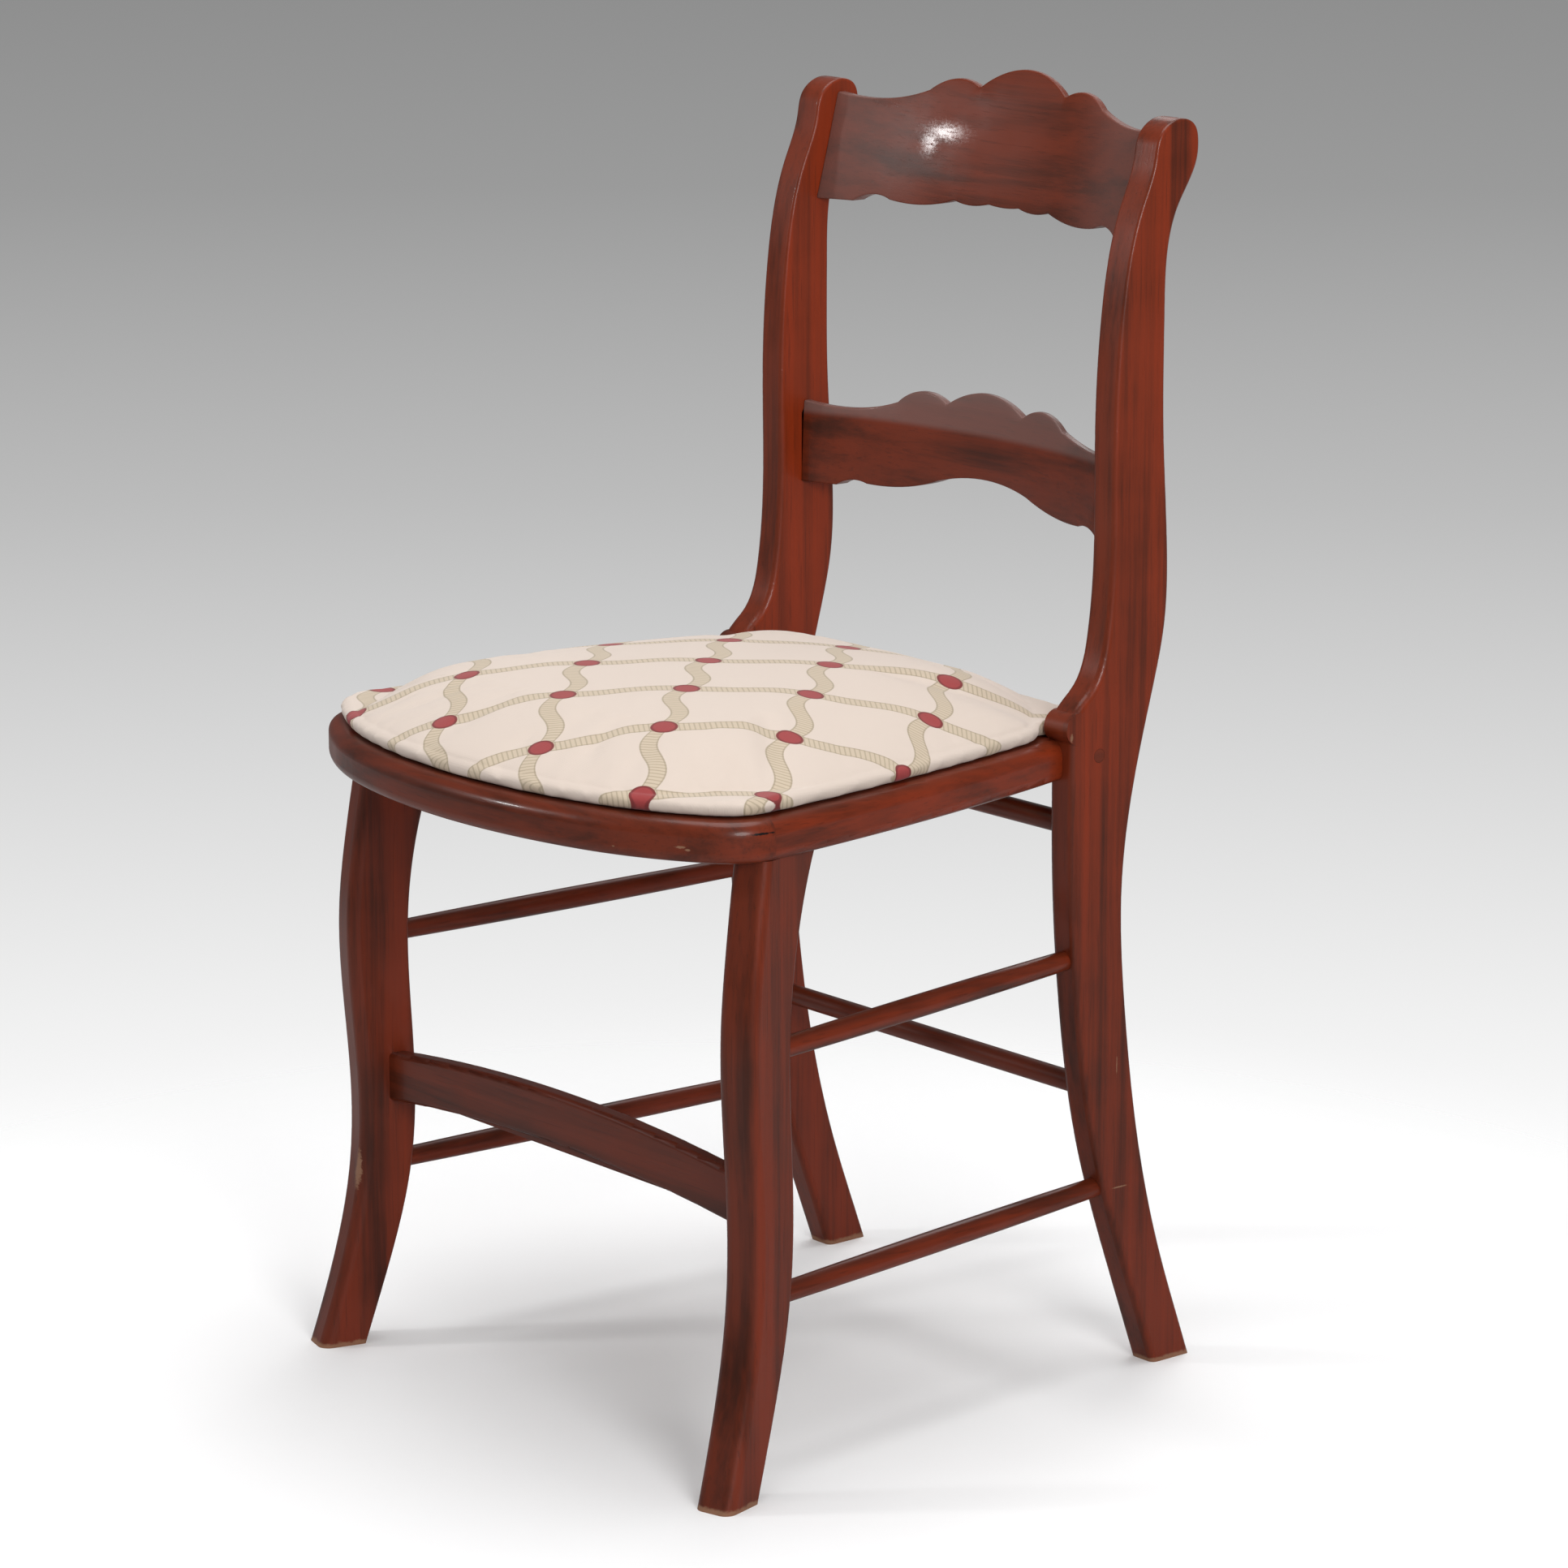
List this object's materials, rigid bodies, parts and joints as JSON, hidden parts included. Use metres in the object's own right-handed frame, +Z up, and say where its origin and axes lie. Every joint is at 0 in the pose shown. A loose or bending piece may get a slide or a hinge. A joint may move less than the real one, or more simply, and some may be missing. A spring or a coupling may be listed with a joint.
{
  "type": "side chair",
  "caption": "Wooden side chair with swept posts and legs, a bowed scalloped crest and middle rail, round stretchers and a padded, patterned fabric seat.",
  "frame": {"origin": "on the floor, under the middle of the chair's overall width and depth", "axes": "+Z up, -Y is the way the sitter faces, +X is to the right as seen from the front, where the pieces named right are"},
  "size_m": [0.4522, 0.4978, 0.8534],
  "materials": {
    "post_wood": "worn varnish, semi-gloss",
    "leg_wood": "worn varnish, semi-gloss",
    "seat_frame_wood": "worn varnish, semi-gloss",
    "back_rail_wood": "varnish, gloss",
    "stretcher_wood": "worn varnish, semi-gloss",
    "board_wood": "bare plywood",
    "padding": "matt wadding",
    "seat_fabric": "matt printed cotton",
    "dowel_wood": "bare",
    "plug_wood": "varnish, semi-gloss",
    "screw_steel": "plain steel"
  },
  "bodies": {
    "root": {"crest_rail": "back_rail_wood", "frame_dowels": "dowel_wood", "front_leg_left": "leg_wood", "front_leg_right": "leg_wood", "front_stretcher": "stretcher_wood", "mid_rail": "back_rail_wood", "post_dowels": "dowel_wood", "post_plugs": "plug_wood", "post_screws": "screw_steel", "rear_post_left": "post_wood", "rear_post_right": "post_wood", "rear_rung": "stretcher_wood", "rear_stretcher": "stretcher_wood", "seat_board": "board_wood", "seat_cover": "seat_fabric", "seat_front_rail": "seat_frame_wood", "seat_pad": "padding", "seat_rear_rail": "seat_frame_wood", "seat_screws": "screw_steel", "seat_side_rail_left": "seat_frame_wood", "seat_side_rail_right": "seat_frame_wood", "side_stretcher_lower_left": "stretcher_wood", "side_stretcher_lower_right": "stretcher_wood", "side_stretcher_upper_left": "stretcher_wood", "side_stretcher_upper_right": "stretcher_wood"}
  },
  "joints": []
}
